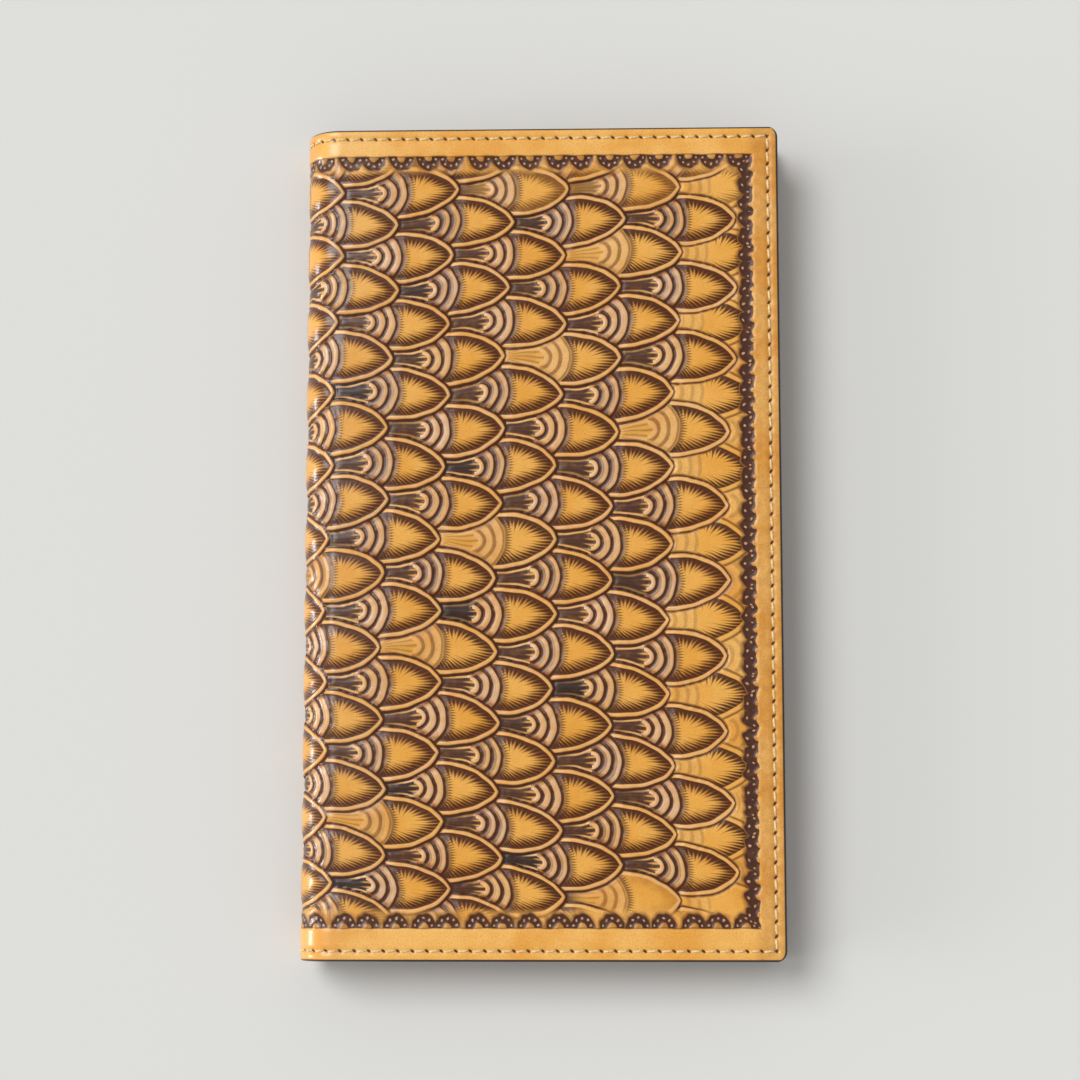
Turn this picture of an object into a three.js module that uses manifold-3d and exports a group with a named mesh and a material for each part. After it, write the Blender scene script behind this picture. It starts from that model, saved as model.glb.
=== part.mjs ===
// A long tooled-leather wallet, folded once along its long side, shown closed and lying on its back cover.
// Millimetres. X runs from the spine to the open edge, Y along the spine, Z up from the back cover.
// The origin is the middle of the footprint, on the surface that the wallet lies on.
import * as THREE from "three";
import { mergeGeometries, mergeVertices } from "three/addons/utils/BufferGeometryUtils.js";
import Module from "manifold-3d";

// Closed outline
const WIDTH = 102;
const HEIGHT = 178;
const CORNER_RADIUS = 2.2;

// Sheet thicknesses
const COVER_THICKNESS = 2.0;
const LINING_THICKNESS = 0.8;
const PANEL_THICKNESS = 0.9;
const POCKET_THICKNESS = 0.6;
const WINDOW_THICKNESS = 0.3;

// Room between neighbouring sheets
const GLUE_LINE = 0.1;
const PANEL_SLACK = 0.2;
const TIER_SLACK = 0.3;
const CLOSING_GAP = 0.5;

// Seam round the cover: one thread lying in a groove on the outside
const STITCH_INSET = 2.2;
const GROOVE_WIDTH = 1.0;
const GROOVE_DEPTH = 0.75;
const THREAD_DIAMETER = 0.6;
const THREAD_SEAT_GAP = 0.1;
const THREAD_END_GAP = 0.2;

// Cards, in the usual bank-card size, and the stepped pockets that hold them
const CARD_WIDTH = 85.6;
const CARD_HEIGHT = 54;
const CARD_EASE = 1;
const CARD_SHOWS = 9;
const SEAM_MARGIN = 4.4;
const TIER_STEP = 18;
const TEE_BAR = 17;
const BACK_TEES = 6;
const FRONT_TEES = 5;
const MOUTH_SETBACK = 1.5;

// Window of the identity-card pocket
const WINDOW_LAP = 5;
const WINDOW_CORNER = 3;
const WINDOW_GLUE_WIDTH = 3.5;

// The two fold lines lie on the rolled spine, each this far round from the flat of its half
const FOLD_ANGLE = Math.PI / 4;

// Facets of a half turn and of a rounded corner, how far a cutter overruns, and what counts as zero
const HALF_TURN_STEPS = 24;
const CORNER_STEPS = 5;
const CUT_PAST = 1;
const ROUNDING = 1e-6;

// Heights along the wallet
const HALF_HEIGHT = HEIGHT / 2;
const SEAM_END = HALF_HEIGHT - STITCH_INSET;
const POCKET_DEPTH = CARD_HEIGHT - CARD_SHOWS;
const PLAIN_DEPTH = SEAM_MARGIN + POCKET_DEPTH;
const WINDOW_DEPTH = SEAM_MARGIN + CARD_HEIGHT + CARD_EASE;

// Levels inside one half, from the outer face of its cover inwards. The card pockets overlap like shingles:
// each leans by the thickness of one sheet and its slack over one step, so their feet all lie at one level.
const LINING_LEVEL = COVER_THICKNESS + GLUE_LINE;
const PANEL_LEVEL = LINING_LEVEL + LINING_THICKNESS + PANEL_SLACK;
const FOOT_LEVEL = PANEL_LEVEL + PANEL_THICKNESS + PANEL_SLACK;
const TIER_LEAN = Math.asin((POCKET_THICKNESS + TIER_SLACK) / TIER_STEP);
const MOUTH_RISE = POCKET_DEPTH * Math.sin(TIER_LEAN);
const PLAIN_RISE = PLAIN_DEPTH * Math.sin(TIER_LEAN);
const WINDOW_LEAN = Math.asin(MOUTH_RISE / WINDOW_DEPTH);
const FRAME_LEVEL = WINDOW_THICKNESS + GLUE_LINE;
const BACK_DEPTH = FOOT_LEVEL + PLAIN_RISE + POCKET_THICKNESS;
const FRONT_DEPTH = FOOT_LEVEL + MOUTH_RISE + FRAME_LEVEL + PANEL_THICKNESS;
const THICKNESS = BACK_DEPTH + CLOSING_GAP + FRONT_DEPTH;

// The spine is half a tube as wide as the wallet is thick. In a half's own frame its axis is at x = 0.
const SPINE_RADIUS = THICKNESS / 2;
const SPINE_LINE = SPINE_RADIUS - WIDTH / 2;
const PANEL_WIDTH = WIDTH - SPINE_RADIUS;
const CARD_MIDDLE = (MOUTH_SETBACK + PANEL_WIDTH) / 2;

const HIDE = { color: "#dfa04c", roughness: 0.48, metalness: 0 };
const CALF = { color: "#b9793a", roughness: 0.6, metalness: 0 };
const PIGSKIN = { color: "#c99a63", roughness: 0.75, metalness: 0 };
const THREAD = { color: "#ead2a0", roughness: 0.7, metalness: 0 };
const CLEAR = { color: "#eef2f2", roughness: 0.12, metalness: 0, transparent: true, opacity: 0.35 };

const wasm = await Module();
wasm.setup();

function solidOf(geometry) {
  const bare = geometry.clone();
  bare.deleteAttribute("normal");
  bare.deleteAttribute("uv");
  const merged = mergeVertices(bare);
  return new wasm.Manifold(new wasm.Mesh({
    numProp: 3,
    vertProperties: merged.getAttribute("position").array,
    triVerts: new Uint32Array(merged.getIndex().array),
  }));
}

function geometryOf(solid) {
  const mesh = solid.getMesh();
  const geometry = new THREE.BufferGeometry();
  geometry.setAttribute("position", new THREE.BufferAttribute(mesh.vertProperties, 3));
  geometry.setIndex(new THREE.BufferAttribute(mesh.triVerts, 1));
  geometry.computeVertexNormals();
  return geometry;
}

function cutAway(body, cutter) {
  return geometryOf(solidOf(body).subtract(solidOf(cutter)));
}

function joined(...pieces) {
  return geometryOf(pieces.map(solidOf).reduce((sum, piece) => sum.add(piece)));
}

function sheet(shape, thickness) {
  return new THREE.ExtrudeGeometry(shape, {
    depth: thickness, bevelEnabled: false, curveSegments: CORNER_STEPS,
  });
}

// A panel from x = left to the open edge, where its corners can be rounded.
function panelShape(left, low, high, lowCorner, highCorner) {
  const shape = new THREE.Shape();
  shape.moveTo(left, low);
  shape.lineTo(PANEL_WIDTH - lowCorner, low);
  if (lowCorner) {
    shape.absarc(PANEL_WIDTH - lowCorner, low + lowCorner, lowCorner, -Math.PI / 2, 0);
  }
  shape.lineTo(PANEL_WIDTH, high - highCorner);
  if (highCorner) {
    shape.absarc(PANEL_WIDTH - highCorner, high - highCorner, highCorner, 0, Math.PI / 2);
  }
  shape.lineTo(left, high);
  return shape;
}

function fullShape(left) {
  return panelShape(left, -HALF_HEIGHT, HALF_HEIGHT, CORNER_RADIUS, CORNER_RADIUS);
}

// The U of the seam: along one end, down the open edge and back along the other end.
function seamBand(width, startX) {
  const side = width / 2;
  const reach = PANEL_WIDTH - STITCH_INSET;
  return new THREE.Shape([
    new THREE.Vector2(startX, -SEAM_END - side),
    new THREE.Vector2(reach + side, -SEAM_END - side),
    new THREE.Vector2(reach + side, SEAM_END + side),
    new THREE.Vector2(startX, SEAM_END + side),
    new THREE.Vector2(startX, SEAM_END - side),
    new THREE.Vector2(reach - side, SEAM_END - side),
    new THREE.Vector2(reach - side, -SEAM_END + side),
    new THREE.Vector2(startX, -SEAM_END + side),
  ]);
}

// A closed (radius, y) profile carried round the spine's axis through part of a turn, with flat ends. Angle 0
// is the outer face's start at the flat of a half, and the turn is towards the spine.
function rolled(profile, start, sweep) {
  const first = Math.PI + start;
  const steps = Math.round(HALF_TURN_STEPS * sweep / Math.PI);
  const skin = new THREE.LatheGeometry([...profile, profile[0]], steps, first, sweep);
  const startCap = new THREE.ShapeGeometry(new THREE.Shape(profile)).rotateY(first - Math.PI / 2);
  const endCap = new THREE.ShapeGeometry(new THREE.Shape(profile)).rotateY(first + sweep - Math.PI / 2);
  endCap.setIndex([...endCap.getIndex().array].reverse());
  const geometry = mergeGeometries([skin, startCap, endCap]);
  const positions = geometry.getAttribute("position").array;
  positions.forEach((value, index) => {
    positions[index] = Math.abs(value) < ROUNDING ? 0 : value;
  });
  return geometry.translate(0, 0, SPINE_RADIUS);
}

function tubeProfile(inner, outer) {
  return [
    new THREE.Vector2(inner, -HALF_HEIGHT),
    new THREE.Vector2(outer, -HALF_HEIGHT),
    new THREE.Vector2(outer, HALF_HEIGHT),
    new THREE.Vector2(inner, HALF_HEIGHT),
  ];
}

// The cover's section along the spine, with the stitching groove near each end.
function coverProfile() {
  const inner = SPINE_RADIUS - COVER_THICKNESS;
  const floor = SPINE_RADIUS - GROOVE_DEPTH;
  const [innerLow, outerLow, outerHigh, innerHigh] = tubeProfile(inner, SPINE_RADIUS);
  const grooveAt = (y) => [
    new THREE.Vector2(SPINE_RADIUS, y - GROOVE_WIDTH / 2),
    new THREE.Vector2(floor, y - GROOVE_WIDTH / 2),
    new THREE.Vector2(floor, y + GROOVE_WIDTH / 2),
    new THREE.Vector2(SPINE_RADIUS, y + GROOVE_WIDTH / 2),
  ];
  return [innerLow, outerLow, ...grooveAt(-SEAM_END), ...grooveAt(SEAM_END), outerHigh, innerHigh];
}

function liningProfile() {
  const outer = SPINE_RADIUS - LINING_LEVEL;
  return tubeProfile(outer - LINING_THICKNESS, outer);
}

function threadProfile(y) {
  const middle = SPINE_RADIUS - GROOVE_DEPTH + THREAD_SEAT_GAP + THREAD_DIAMETER / 2;
  const corner = THREAD_DIAMETER / 2 / Math.cos(Math.PI / 8);
  return Array.from({ length: 8 }, (_, index) => {
    const angle = (index + 0.5) * Math.PI / 4;
    return new THREE.Vector2(middle + corner * Math.cos(angle), y + corner * Math.sin(angle));
  });
}

// Tooled cover of one half as far as its fold line, with the stitching groove in its outer face.
function coverPanel() {
  const groove = sheet(seamBand(GROOVE_WIDTH, -CUT_PAST), CUT_PAST + GROOVE_DEPTH);
  groove.translate(0, 0, -CUT_PAST);
  const flat = cutAway(sheet(fullShape(0), COVER_THICKNESS), groove);
  return joined(flat, rolled(coverProfile(), 0, FOLD_ANGLE));
}

function liningPanel() {
  const flat = sheet(fullShape(0), LINING_THICKNESS).translate(0, 0, LINING_LEVEL);
  return joined(flat, rolled(liningProfile(), 0, FOLD_ANGLE));
}

// The thread of one half: an eight-sided section that follows the groove from fold line to fold line.
function panelThread() {
  const core = THREAD_DIAMETER * Math.tan(Math.PI / 8);
  const chamfer = (THREAD_DIAMETER - core) / 2;
  const flat = new THREE.ExtrudeGeometry(seamBand(core, -THREAD_DIAMETER), {
    depth: core, bevelSize: chamfer, bevelThickness: chamfer, bevelSegments: 1,
  });
  flat.translate(0, 0, GROOVE_DEPTH - THREAD_SEAT_GAP - THREAD_DIAMETER + chamfer);
  const sweep = FOLD_ANGLE - THREAD_END_GAP / SPINE_RADIUS;
  return joined(flat, ...[SEAM_END, -SEAM_END].map((y) => rolled(threadProfile(y), 0, sweep)));
}

// A card pocket with side bars that reach the seams and a narrower stem, drawn upwards from its foot.
function teePocket() {
  const bar = POCKET_DEPTH - TEE_BAR;
  const halfStem = CARD_WIDTH / 2 + CARD_EASE / 2;
  return sheet(new THREE.Shape([
    new THREE.Vector2(MOUTH_SETBACK, POCKET_DEPTH),
    new THREE.Vector2(MOUTH_SETBACK, bar),
    new THREE.Vector2(CARD_MIDDLE - halfStem, bar),
    new THREE.Vector2(CARD_MIDDLE - halfStem, 0),
    new THREE.Vector2(CARD_MIDDLE + halfStem, 0),
    new THREE.Vector2(CARD_MIDDLE + halfStem, bar),
    new THREE.Vector2(PANEL_WIDTH, bar),
    new THREE.Vector2(PANEL_WIDTH, POCKET_DEPTH),
  ]), POCKET_THICKNESS);
}

// The rectangle of a card that stands in the lowest pocket, drawn in by a margin, with rounded corners.
function cardOutline(path, margin, corner) {
  const low = SEAM_MARGIN + margin;
  const high = SEAM_MARGIN + CARD_HEIGHT - margin;
  const right = CARD_MIDDLE + CARD_WIDTH / 2 - margin - corner;
  const left = CARD_MIDDLE - CARD_WIDTH / 2 + margin + corner;
  path.moveTo(left, low);
  path.lineTo(right, low);
  path.absarc(right, low + corner, corner, -Math.PI / 2, 0);
  path.lineTo(right + corner, high - corner);
  path.absarc(right, high - corner, corner, 0, Math.PI / 2);
  path.lineTo(left, high);
  path.absarc(left, high - corner, corner, Math.PI / 2, Math.PI);
  path.lineTo(left - corner, low + corner);
  path.absarc(left, low + corner, corner, Math.PI, 1.5 * Math.PI);
  return path;
}

function windowFrame() {
  const shape = panelShape(MOUTH_SETBACK, 0, WINDOW_DEPTH, CORNER_RADIUS, 0);
  shape.holes.push(cardOutline(new THREE.Path(), WINDOW_LAP, WINDOW_CORNER));
  return sheet(shape, PANEL_THICKNESS);
}

function windowSheet() {
  const outline = cardOutline(new THREE.Shape(), WINDOW_LAP - WINDOW_GLUE_WIDTH, WINDOW_CORNER);
  return sheet(outline, WINDOW_THICKNESS);
}

function addMesh(group, name, geometry, finish) {
  const mesh = new THREE.Mesh(geometry, new THREE.MeshStandardMaterial(finish));
  mesh.name = name;
  group.add(mesh);
  return mesh;
}

// Cover, thread, lining and full-height pocket wall of one half. The wall's mouth is at the spine. The half
// is drawn with x from the spine line and z inwards from the cover's outer face.
function layUp(side, wallName) {
  const group = new THREE.Group();
  addMesh(group, `cover_${side}_panel`, coverPanel(), HIDE);
  addMesh(group, `stitch_${side}_panel`, panelThread(), THREAD);
  addMesh(group, `lining_${side}_panel`, liningPanel(), PIGSKIN);
  const wall = addMesh(group, wallName, sheet(fullShape(MOUTH_SETBACK), PANEL_THICKNESS), CALF);
  wall.position.z = PANEL_LEVEL;
  return group;
}

// Pockets in steps above another mouth: the one with the highest mouth lies deepest.
function addTees(group, prefix, count, mouthBelow, footLevel) {
  for (let index = 1; index <= count; index += 1) {
    const mouth = mouthBelow + (count + 1 - index) * TIER_STEP;
    const tee = addMesh(group, prefix + index, teePocket(), CALF);
    tee.position.set(0, mouth - POCKET_DEPTH, footLevel);
    tee.rotation.x = TIER_LEAN;
  }
}

// A pocket that reaches the end of the wallet: its foot is drawn in so that the leaning edge stays inside it.
function atTheFoot(object, lean, thickness) {
  object.position.set(0, -HALF_HEIGHT + thickness * Math.sin(lean), FOOT_LEVEL);
  object.rotation.x = lean;
  return object;
}

function backHalf() {
  const group = layUp("back", "bill_pocket_panel");
  const teeLevel = FOOT_LEVEL + PLAIN_RISE - MOUTH_RISE;
  addTees(group, "back_card_pocket_", BACK_TEES, -HALF_HEIGHT + PLAIN_DEPTH, teeLevel);
  const plain = sheet(panelShape(MOUTH_SETBACK, 0, PLAIN_DEPTH, CORNER_RADIUS, 0), POCKET_THICKNESS);
  atTheFoot(addMesh(group, "back_card_pocket_low", plain, CALF), TIER_LEAN, POCKET_THICKNESS);
  group.position.x = SPINE_LINE;
  return group;
}

// The front half is laid up from the top down, so its frame is mirrored.
function frontHalf() {
  const group = layUp("front", "checkbook_sleeve_panel");
  addTees(group, "front_card_pocket_", FRONT_TEES, -HALF_HEIGHT + WINDOW_DEPTH, FOOT_LEVEL);
  const pocket = new THREE.Group();
  addMesh(pocket, "id_window_sheet", windowSheet(), CLEAR);
  addMesh(pocket, "id_pocket_panel", windowFrame(), CALF).position.z = FRAME_LEVEL;
  group.add(atTheFoot(pocket, WINDOW_LEAN, FRAME_LEVEL + PANEL_THICKNESS));
  group.position.set(SPINE_LINE, 0, THICKNESS);
  group.scale.z = -1;
  return group;
}

// The middle of the rolled spine, between the fold lines: tooled cover, lining and the thread at each end.
function spine() {
  const group = new THREE.Group();
  const sweep = Math.PI - 2 * FOLD_ANGLE;
  addMesh(group, "cover_spine", rolled(coverProfile(), FOLD_ANGLE, sweep), HIDE);
  addMesh(group, "lining_spine", rolled(liningProfile(), FOLD_ANGLE, sweep), PIGSKIN);
  const gap = THREAD_END_GAP / SPINE_RADIUS;
  for (const [end, y] of [["head", SEAM_END], ["tail", -SEAM_END]]) {
    const geometry = rolled(threadProfile(y), FOLD_ANGLE + gap, sweep - 2 * gap);
    addMesh(group, `stitch_spine_${end}`, geometry, THREAD);
  }
  group.position.x = SPINE_LINE;
  return group;
}

const wallet = new THREE.Group();
wallet.add(backHalf(), spine(), frontHalf());

export default wallet;
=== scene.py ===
import bpy
import numpy as np
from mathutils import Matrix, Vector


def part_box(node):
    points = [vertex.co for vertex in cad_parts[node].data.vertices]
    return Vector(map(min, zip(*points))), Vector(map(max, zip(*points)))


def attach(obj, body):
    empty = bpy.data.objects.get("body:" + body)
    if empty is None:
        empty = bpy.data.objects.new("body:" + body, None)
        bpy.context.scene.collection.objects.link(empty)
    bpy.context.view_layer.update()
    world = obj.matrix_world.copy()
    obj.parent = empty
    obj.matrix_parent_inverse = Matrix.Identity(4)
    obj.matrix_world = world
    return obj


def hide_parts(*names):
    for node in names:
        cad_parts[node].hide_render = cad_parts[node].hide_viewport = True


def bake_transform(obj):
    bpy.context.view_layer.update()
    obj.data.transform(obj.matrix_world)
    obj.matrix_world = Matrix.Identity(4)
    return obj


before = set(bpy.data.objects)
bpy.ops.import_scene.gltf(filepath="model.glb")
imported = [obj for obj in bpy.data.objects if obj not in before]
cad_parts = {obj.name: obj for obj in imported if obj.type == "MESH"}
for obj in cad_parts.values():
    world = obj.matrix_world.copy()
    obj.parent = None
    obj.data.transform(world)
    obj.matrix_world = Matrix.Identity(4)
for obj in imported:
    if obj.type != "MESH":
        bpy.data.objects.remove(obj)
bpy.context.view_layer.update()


# Tooled cover: one vegetable-tanned hide, 2 mm thick, that makes the front, the rolled spine and the back.
# Stamped by hand with overlapping scales inside a border of half-rounds, and rubbed with dark antique that
# stays in the cuts. Its edges are painted dark, and it is glued and stitched to the lining.

# Sizes are millimetres on the hide laid flat: u from the middle of the spine (front +, back -), v along it.
open_x, end_y, top_z = 1000 * np.array(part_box("cover_front_panel")[1])
spine_radius = top_z / 2
bend_x = 1000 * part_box("cover_spine")[0].x + spine_radius
bend_u = np.pi / 2 * spine_radius
edge_u = bend_u + open_x - bend_x
hide_thickness = 2.0
corner_radius = 2.2
grid_step = 0.47
edge_round = 0.7
scale_pitch = 12.14
last_column = 8
side_border, head_border, foot_border = 5.6, 6.1, 6.9
seam_inset = 2.2
channel_depth = 0.16
stitches_on_end, stitches_on_side = 34.5, 57
end_stitch = (edge_u - seam_inset) / stitches_on_end
side_stitch = 2 * (end_y - seam_inset) / stitches_on_side


class Wire:
    """A shader socket that takes part in arithmetic; each step of it is one Math node."""

    def __init__(self, socket):
        self.socket = socket

    def __add__(self, other):
        return calc("ADD", self, other)

    def __sub__(self, other):
        return calc("SUBTRACT", self, other)

    def __rsub__(self, other):
        return calc("SUBTRACT", other, self)

    def __mul__(self, other):
        return calc("MULTIPLY", self, other)

    def __truediv__(self, other):
        return calc("DIVIDE", self, other)

    def __rtruediv__(self, other):
        return calc("DIVIDE", other, self)

    __radd__ = __add__
    __rmul__ = __mul__


array_steps = {
    "ADD": np.add, "SUBTRACT": np.subtract, "MULTIPLY": np.multiply, "DIVIDE": np.divide,
    "MINIMUM": np.minimum, "MAXIMUM": np.maximum, "ABSOLUTE": np.abs, "POWER": np.power, "SQRT": np.sqrt,
    "FLOOR": np.floor, "CEIL": np.ceil, "FRACT": lambda x: x - np.floor(x), "SINE": np.sin,
    "ARCTAN2": np.arctan2, "GREATER_THAN": lambda a, b: np.where(a > b, 1.0, 0.0),
    "MULTIPLY_ADD": lambda a, b, c: a * b + c,
}


def calc(step, *terms):
    """One step of arithmetic, on whole arrays or on shader sockets alike."""
    wires = [term for term in terms if isinstance(term, Wire)]
    if not wires:
        return array_steps[step](*terms)
    tree = wires[0].socket.id_data
    made = tree.nodes.new("ShaderNodeMath")
    made.operation = step
    for term, socket in zip(terms, made.inputs):
        if isinstance(term, Wire):
            tree.links.new(term.socket, socket)
        else:
            socket.default_value = float(term)
    return Wire(made.outputs[0])


def ramp(x, start, end):
    """Smooth rise from 0 at start to 1 at end: 3 t squared less 2 t cubed, t being the share of the way."""
    if not isinstance(x, Wire):
        t = np.clip((x - start) / (end - start), 0, 1)
        return t * t * (3 - 2 * t)
    tree = x.socket.id_data
    made = tree.nodes.new("ShaderNodeMapRange")
    made.interpolation_type = "SMOOTHSTEP"
    tree.links.new(x.socket, made.inputs["Value"])
    made.inputs["From Min"].default_value = start
    made.inputs["From Max"].default_value = end
    return Wire(made.outputs[0])


def band(x, low, high, soft):
    """1 between low and high and 0 outside, with edges this soft."""
    return ramp(x, low - soft, low + soft) * ramp(x, high + soft, high - soft)


def pick(mask, yes, no):
    """yes where the mask is 1 and no where it is 0."""
    return calc("MULTIPLY_ADD", yes - no, mask, no)


def most(share, *others):
    """The greatest of these shares."""
    for other in others:
        share = calc("MAXIMUM", share, other)
    return share


def hypot(a, b):
    """Length of the hypotenuse: square root of the sum of squares."""
    return calc("SQRT", a * a + b * b)


def zigzag(x):
    """0 at each whole number and 1 halfway between two."""
    return calc("ABSOLUTE", calc("FRACT", x + 0.5) - 0.5) * 2.0


def scale(column, row, index, pitch_v):
    """One scale's own measures: how far back from its tip (s), how far off its middle line (d), how far
    inside its edge (e), and the number of its row. Its half-height is a power of one less the square of what
    is left to the widest place."""
    half_height, nose, last_set_back = 6.15, 12.2, 7.6
    shifted = row - calc("FRACT", index * 0.5)
    line = calc("FLOOR", shifted + 0.5)
    d = (shifted - line) * pitch_v
    s = (index - column) * scale_pitch + 0.5 * calc("SINE", index * 2.3 + line * 1.9)
    s = s - last_set_back * calc("GREATER_THAN", index, last_column - 0.5)
    t = calc("MINIMUM", calc("MAXIMUM", 1.0 - s / nose, 0.0), 1.0)
    rest = 1.0 - t * t
    reach = half_height * calc("POWER", calc("MAXIMUM", rest, 0.0), 0.6)
    slope = 1.2 * half_height / nose * t * calc("POWER", calc("MAXIMUM", rest, 0.02), -0.4)
    e = (reach - calc("ABSOLUTE", d)) / calc("SQRT", slope * slope + 1.0)
    return s, d, e - calc("MAXIMUM", 0.0 - s, 0.0), line


def tooling(u, v):
    """Depth of the tooling in millimetres below the plain hide, then shares of antique and painted shade, of
    dark knife line, of pale burnished leather with painted highlight, of brown wash, of clear gold and of
    the deepest antique, at u and v on the hide. Scales stand in staggered columns and overlap like shingles.
    Each has a rim, rays cut inwards from it, three arcs and a fan, all of them smooth ramps of distances and
    angles in the scale."""
    across = calc("ABSOLUTE", u)
    plain_u, plain_v = u, v

    # A hand's wobble, and columns and rows that drift out of line along the hide.
    u = u + 0.05 * calc("SINE", v * 1.31 + u * 0.57) + 0.04 * calc("SINE", v * 0.83 - u * 1.9)
    v = v + 0.05 * calc("SINE", u * 1.17 + v * 0.49) + 0.04 * calc("SINE", v * 1.7 - u * 0.71)
    far = v / 100.0
    bow = 0.242 * far + 0.332 * far * far - 0.327 * far * far * far
    column = u / scale_pitch - 0.853 - bow
    lean = calc("SINE", (u - 55.4) * 0.025)
    row = 0.057 + 0.067 * lean + far * (6.3 - 0.145 * lean) - 0.136 * far * far + 0.607 * far * far * far
    row = row + 0.025 * calc("SINE", u * 0.19 + v * 0.05)
    row_height = 7.9 + 50.0 / (6.3 - 0.145 * lean - 0.272 * far + 1.821 * far * far)

    # The uppermost of three scales that may cover a place, and the distance to those that lie over it.
    far_off = 9.0
    index = calc("CEIL", column - 0.25)
    s0, d0, e0, line0 = scale(column, row, index, row_height)
    s1, d1, e1, line1 = scale(column, row, index + 1.0, row_height)
    s2, d2, e2, line2 = scale(column, row, index + 2.0, row_height)
    first = calc("GREATER_THAN", e0, 0.0)
    second = calc("GREATER_THAN", e1, 0.0)
    s = pick(first, s0, pick(second, s1, s2))
    d = pick(first, d0, pick(second, d1, d2))
    e = pick(first, e0, pick(second, e1, e2))
    line = pick(first, line0, pick(second, line1, line2))
    index = index + pick(first, 0.0, 2.0 - second)
    over = pick(first, far_off, calc("MINIMUM", 0.0 - e0, pick(second, far_off, 0.0 - e1)))

    # How strongly each scale is tooled: the last column and a few others lightly, and the scales next to the
    # border at both ends of the front less than the rest.
    last = calc("GREATER_THAN", index, last_column - 0.5)
    hand = calc("SINE", index * 5.1 + line * 3.7)
    rank = calc("ABSOLUTE", line + calc("FRACT", index * 0.5))
    at_head = calc("GREATER_THAN", line, 0.0)
    bare = pick(at_head, 0.4 * ramp(u, 34.0, 50.0), ramp(u, 60.0, 67.0))
    bare = calc("GREATER_THAN", rank, 4.9) * bare
    full = (1.0 - 0.9 * last) * (1.0 - 0.7 * ramp(hand, 0.98, 0.99)) * (1.0 - 0.8 * bare)

    # Outline cut, arcs about a centre well behind the tip, and the fan behind the innermost arc.
    arc_centre, arc_pitch, outer_arc = 17.9, 2.15, 6.85
    centre = arc_centre + 0.3 * calc("SINE", index * 3.9 + line * 2.1)
    edge = calc("MINIMUM", e, over)
    cut = ramp(edge, 0.37, 0.15)
    behind = calc("GREATER_THAN", s, centre)
    r = hypot(d, centre - s)
    ring = pick(behind, 0.0, r)
    phase = (ring - 2.37) / arc_pitch
    arcs = ramp(ring, 0.95, 1.2) * ramp(ring, 6.75, 6.5)
    gaps = ramp(zigzag(phase), 0.5, 0.26) * ramp(ring, 1.6, 1.9) * ramp(ring, 7.05, outer_arc)
    fan = ramp(ring, 1.2, 0.95)
    beside = band(over, 0.4, 0.84, 0.1) * ramp(s, 15.6, 17.0) * ramp(calc("ABSOLUTE", d), 0.7, 1.3)
    beside = beside * (0.4 + 0.6 * ramp(calc("SINE", index * 2.2 + line * 4.4), -0.7, 0.1))
    bristle = zigzag(d / (27.5 - s) * 8.0)
    fan_dark = fan * (1.0 - beside) * (1.0 - 0.04 * bristle)
    fan_dark = fan_dark * (1.0 - 0.75 * ramp(bristle * ramp(s, 21.6, 16.9), 0.4, 0.8))

    # Rays cut inwards from the rim, steep on the upper side and long and sloping on the lower, and short
    # ticks outside the last arc.
    body = ramp(r, outer_arc, 7.0) * (1.0 - behind)
    upper = calc("GREATER_THAN", d, 0.0)
    ahead = pick(upper, 9.6, 14.0) - s
    turn = calc("ARCTAN2", d, ahead)
    beat = pick(upper, 3.6, 6.0) * turn + pick(upper, 2.0, 4.0) * calc("ARCTAN2", d * 3.0, ahead)
    ray = calc("FLOOR", beat + 0.5)
    chance = calc("SINE", ray * 2.7 + index * 1.3 + line)
    length = pick(upper, 1.8, 2.4) + 1.4 * ramp(s, 7.0, 1.5) + 0.45 * chance
    wedge = pick(upper, 1.38, 1.12) - 0.2 * ramp(s, 6.0, 1.5) - (e - 1.2) / length
    rays = ramp(wedge - zigzag(beat), -0.4, 0.58)
    rays = rays * (2.0 - rays) * (1.0 - 0.3 * ramp(e, 2.2, 4.2))
    tick_beat = calc("ARCTAN2", d, centre - s) * 13.5
    ticks = 0.75 * ramp(1.25 - (r - outer_arc) / 1.25 - zigzag(tick_beat), -0.3, 0.25)
    corner = ramp(e + 0.8 * (r - outer_arc), 2.5, 1.7)
    past_rim = ramp(e, 1.0, 1.24)
    strokes = body * past_rim * most(rays, corner) * (1.0 - 0.92 * bare)
    ticks = body * past_rim * ticks * (1.0 - last)

    # Border: half-round stamps with their feet on a scribed line, each with a few raised beads.
    from_right = edge_u - side_border - across + 0.3 * calc("SINE", v * 1.9) * calc("SINE", v * 0.37 + 0.8)
    from_end = calc("MINIMUM", end_y - head_border - v, v + (end_y - foot_border))
    at_side = calc("GREATER_THAN", from_end, from_right)
    q = calc("MINIMUM", from_right, from_end)
    pitch = pick(at_side, 3.7, 5.6)
    beat = pick(at_side, v, u) / pitch
    t = (calc("FRACT", beat) - 0.5) * pitch + 0.4 * calc("SINE", calc("FLOOR", beat) * 2.4)
    rho = hypot(t, q * 0.88) + 0.1 * calc("SINE", u * 2.9 + v * 2.3)
    inside = ramp(q, -0.06, 0.1)
    stamp = inside * ramp(rho, 3.0, 2.45) * ramp(rho + 0.35 * at_side, 0.8, 1.05)
    bead_turn = calc("FRACT", calc("ARCTAN2", q, t) * pick(at_side, 3.0, 5.0) / np.pi) - 0.5
    bead = stamp * ramp(hypot(bead_turn * pick(at_side, 1.9, 1.15), rho - 1.85), 0.32, 0.16)
    scribe = ramp(calc("ABSOLUTE", q), 0.2, 0.08) * (1.0 - 0.8 * at_side)

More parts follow.
